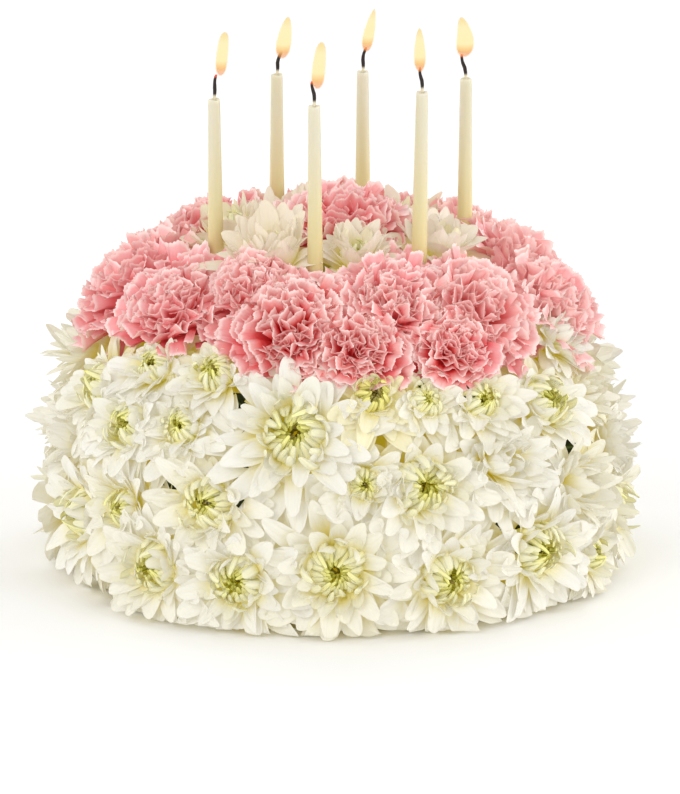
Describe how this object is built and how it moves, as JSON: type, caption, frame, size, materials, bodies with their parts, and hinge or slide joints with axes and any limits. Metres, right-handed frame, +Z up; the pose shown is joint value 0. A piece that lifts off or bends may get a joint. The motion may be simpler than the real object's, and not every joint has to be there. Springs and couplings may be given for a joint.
{
  "type": "flower birthday cake with candles",
  "caption": "Round domed birthday cake made of fresh flowers: white cushion mums down the side, pink carnations round the shoulder, thin lit candles on top.",
  "frame": {"origin": "centre of the flat foot of the flower foam", "axes": "+Z up along the cake's axis, -Y towards the front"},
  "size_m": [0.2551, 0.2537, 0.234],
  "materials": {
    "flower_foam": "wet dark green flower foam, with leaf and stem bits",
    "white_petal": "fresh cream-white petals, yellow-green towards the button",
    "pink_petal": "fresh frilled pink petals with paler edges and deep pink folds",
    "candle_wax": "ivory wax with a dark charred wick",
    "flame": "pale yellow candle flame, orange at its foot"
  },
  "bodies": {
    "root": {"mum_01": "white_petal", "mum_02": "white_petal", "mum_03": "white_petal", "mum_04": "white_petal", "mum_05": "white_petal", "mum_06": "white_petal", "mum_07": "white_petal", "mum_08": "white_petal", "mum_09": "white_petal", "mum_10": "white_petal", "mum_11": "white_petal", "mum_12": "white_petal", "mum_13": "white_petal", "mum_14": "white_petal", "mum_15": "white_petal", "mum_16": "white_petal", "mum_17": "white_petal", "mum_18": "white_petal", "mum_19": "white_petal", "mum_20": "white_petal", "mum_21": "white_petal", "mum_22": "white_petal", "mum_23": "white_petal", "mum_24": "white_petal", "crown_mum_01": "white_petal", "crown_mum_02": "white_petal", "crown_mum_03": "white_petal", "crown_mum_04": "white_petal", "crown_mum_05": "white_petal", "crown_mum_06": "white_petal", "crown_mum_07": "white_petal", "carnation_01": "pink_petal", "carnation_02": "pink_petal", "carnation_03": "pink_petal", "carnation_04": "pink_petal", "carnation_05": "pink_petal", "carnation_06": "pink_petal", "carnation_07": "pink_petal", "carnation_08": "pink_petal", "carnation_09": "pink_petal", "carnation_10": "pink_petal", "carnation_11": "pink_petal", "carnation_12": "pink_petal", "carnation_13": "pink_petal", "carnation_14": "pink_petal", "carnation_15": "pink_petal", "carnation_16": "pink_petal", "core": "flower_foam", "candle_01": "candle_wax", "candle_02": "candle_wax", "candle_03": "candle_wax", "candle_04": "candle_wax", "candle_05": "candle_wax", "candle_06": "candle_wax", "flame_01": "flame", "flame_02": "flame", "flame_03": "flame", "flame_04": "flame", "flame_05": "flame", "flame_06": "flame"}
  },
  "joints": []
}
